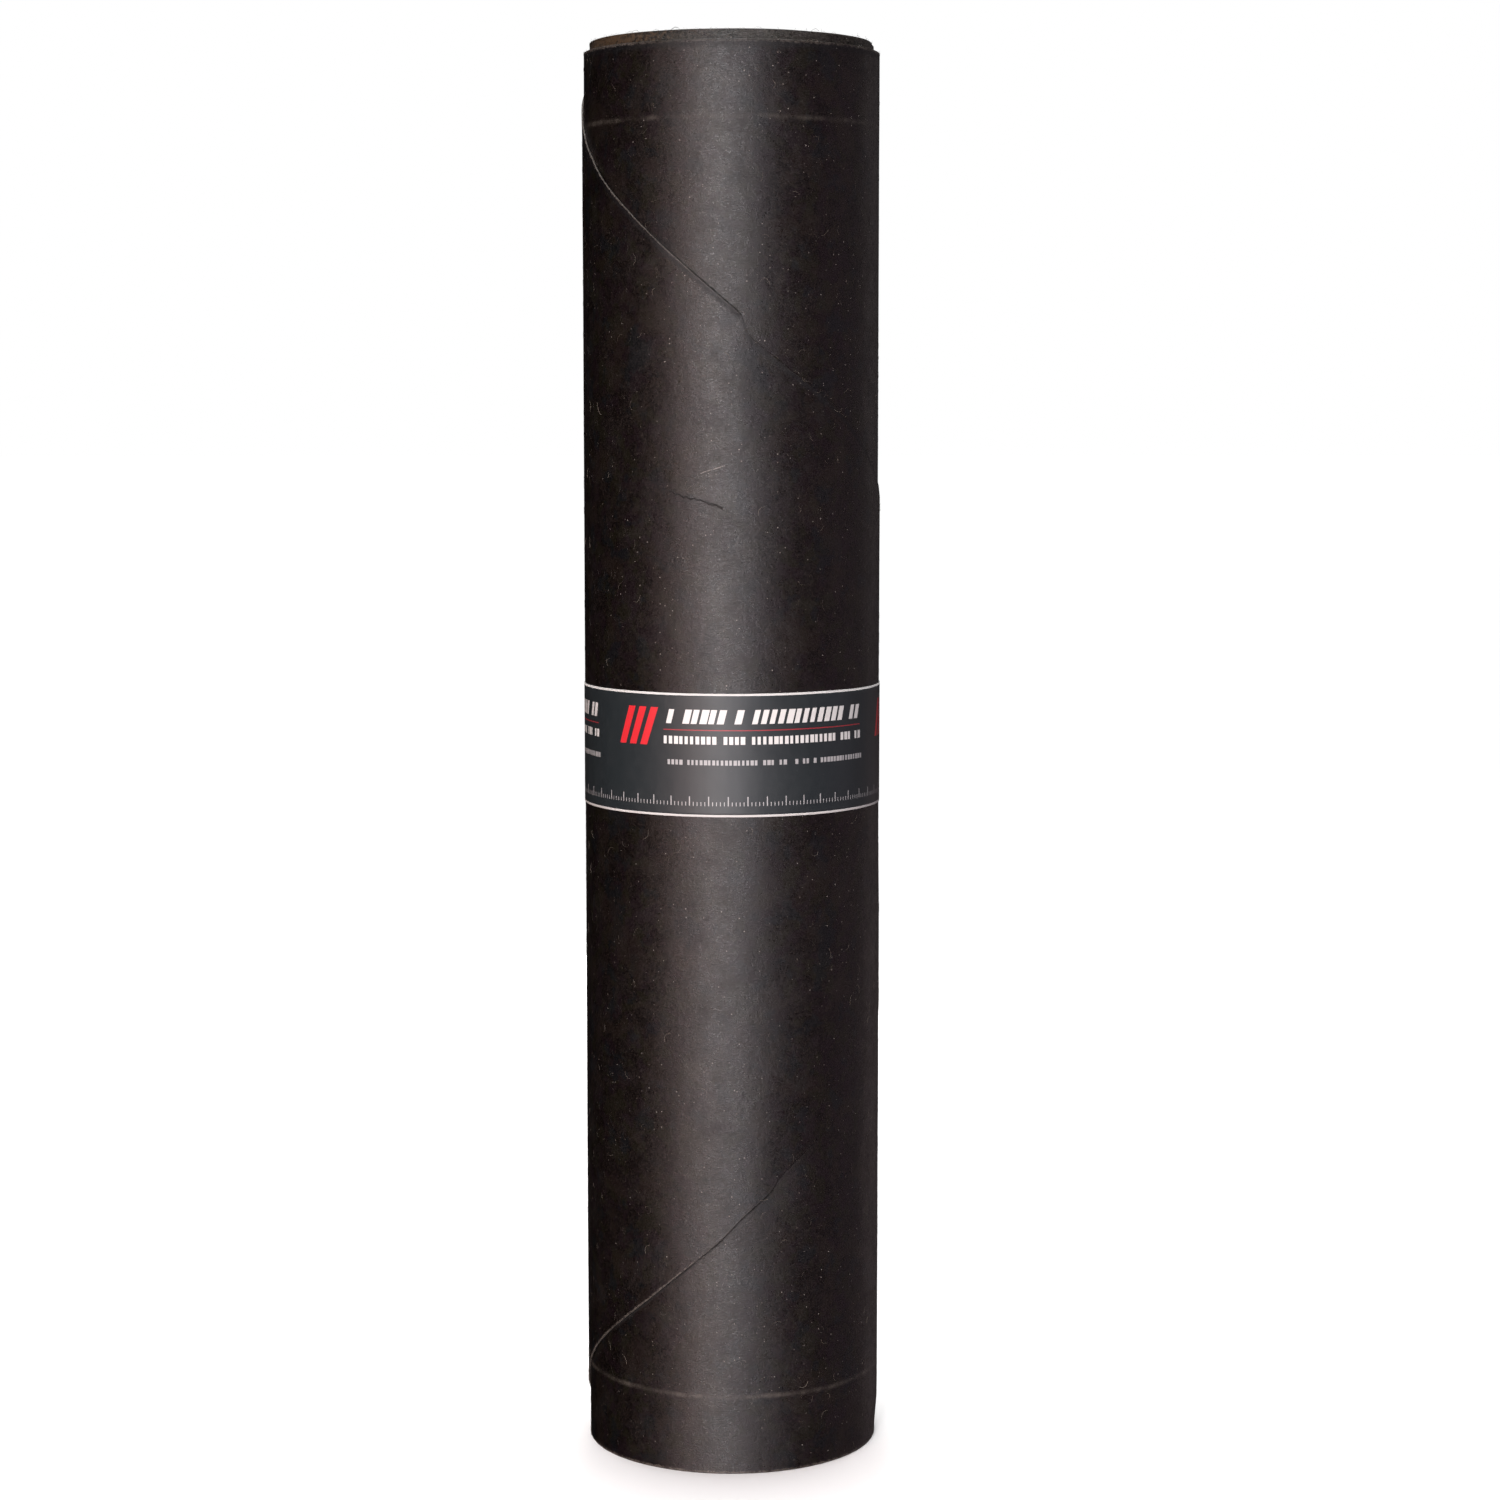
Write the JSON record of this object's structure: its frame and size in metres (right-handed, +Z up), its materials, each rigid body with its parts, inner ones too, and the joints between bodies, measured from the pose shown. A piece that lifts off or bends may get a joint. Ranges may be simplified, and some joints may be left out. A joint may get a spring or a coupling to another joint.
{
  "type": "roll of roofing felt",
  "caption": "Tall roll of heavy black roofing felt standing on its end, with a pointed slant-cut tail and a paper band round the middle.",
  "frame": {"origin": "middle of the bottom end, on the floor", "axes": "+Z up along the roll's axis, -Y towards the front of the roll"},
  "size_m": [0.1949, 0.1956, 0.9209],
  "materials": {
    "felt": "bitumen-soaked felt, matt and slightly mottled",
    "band_paper": "printed paper, charcoal with pale margins, satin"
  },
  "bodies": {
    "root": {"felt_roll": "felt", "label_band": "band_paper"}
  },
  "joints": []
}
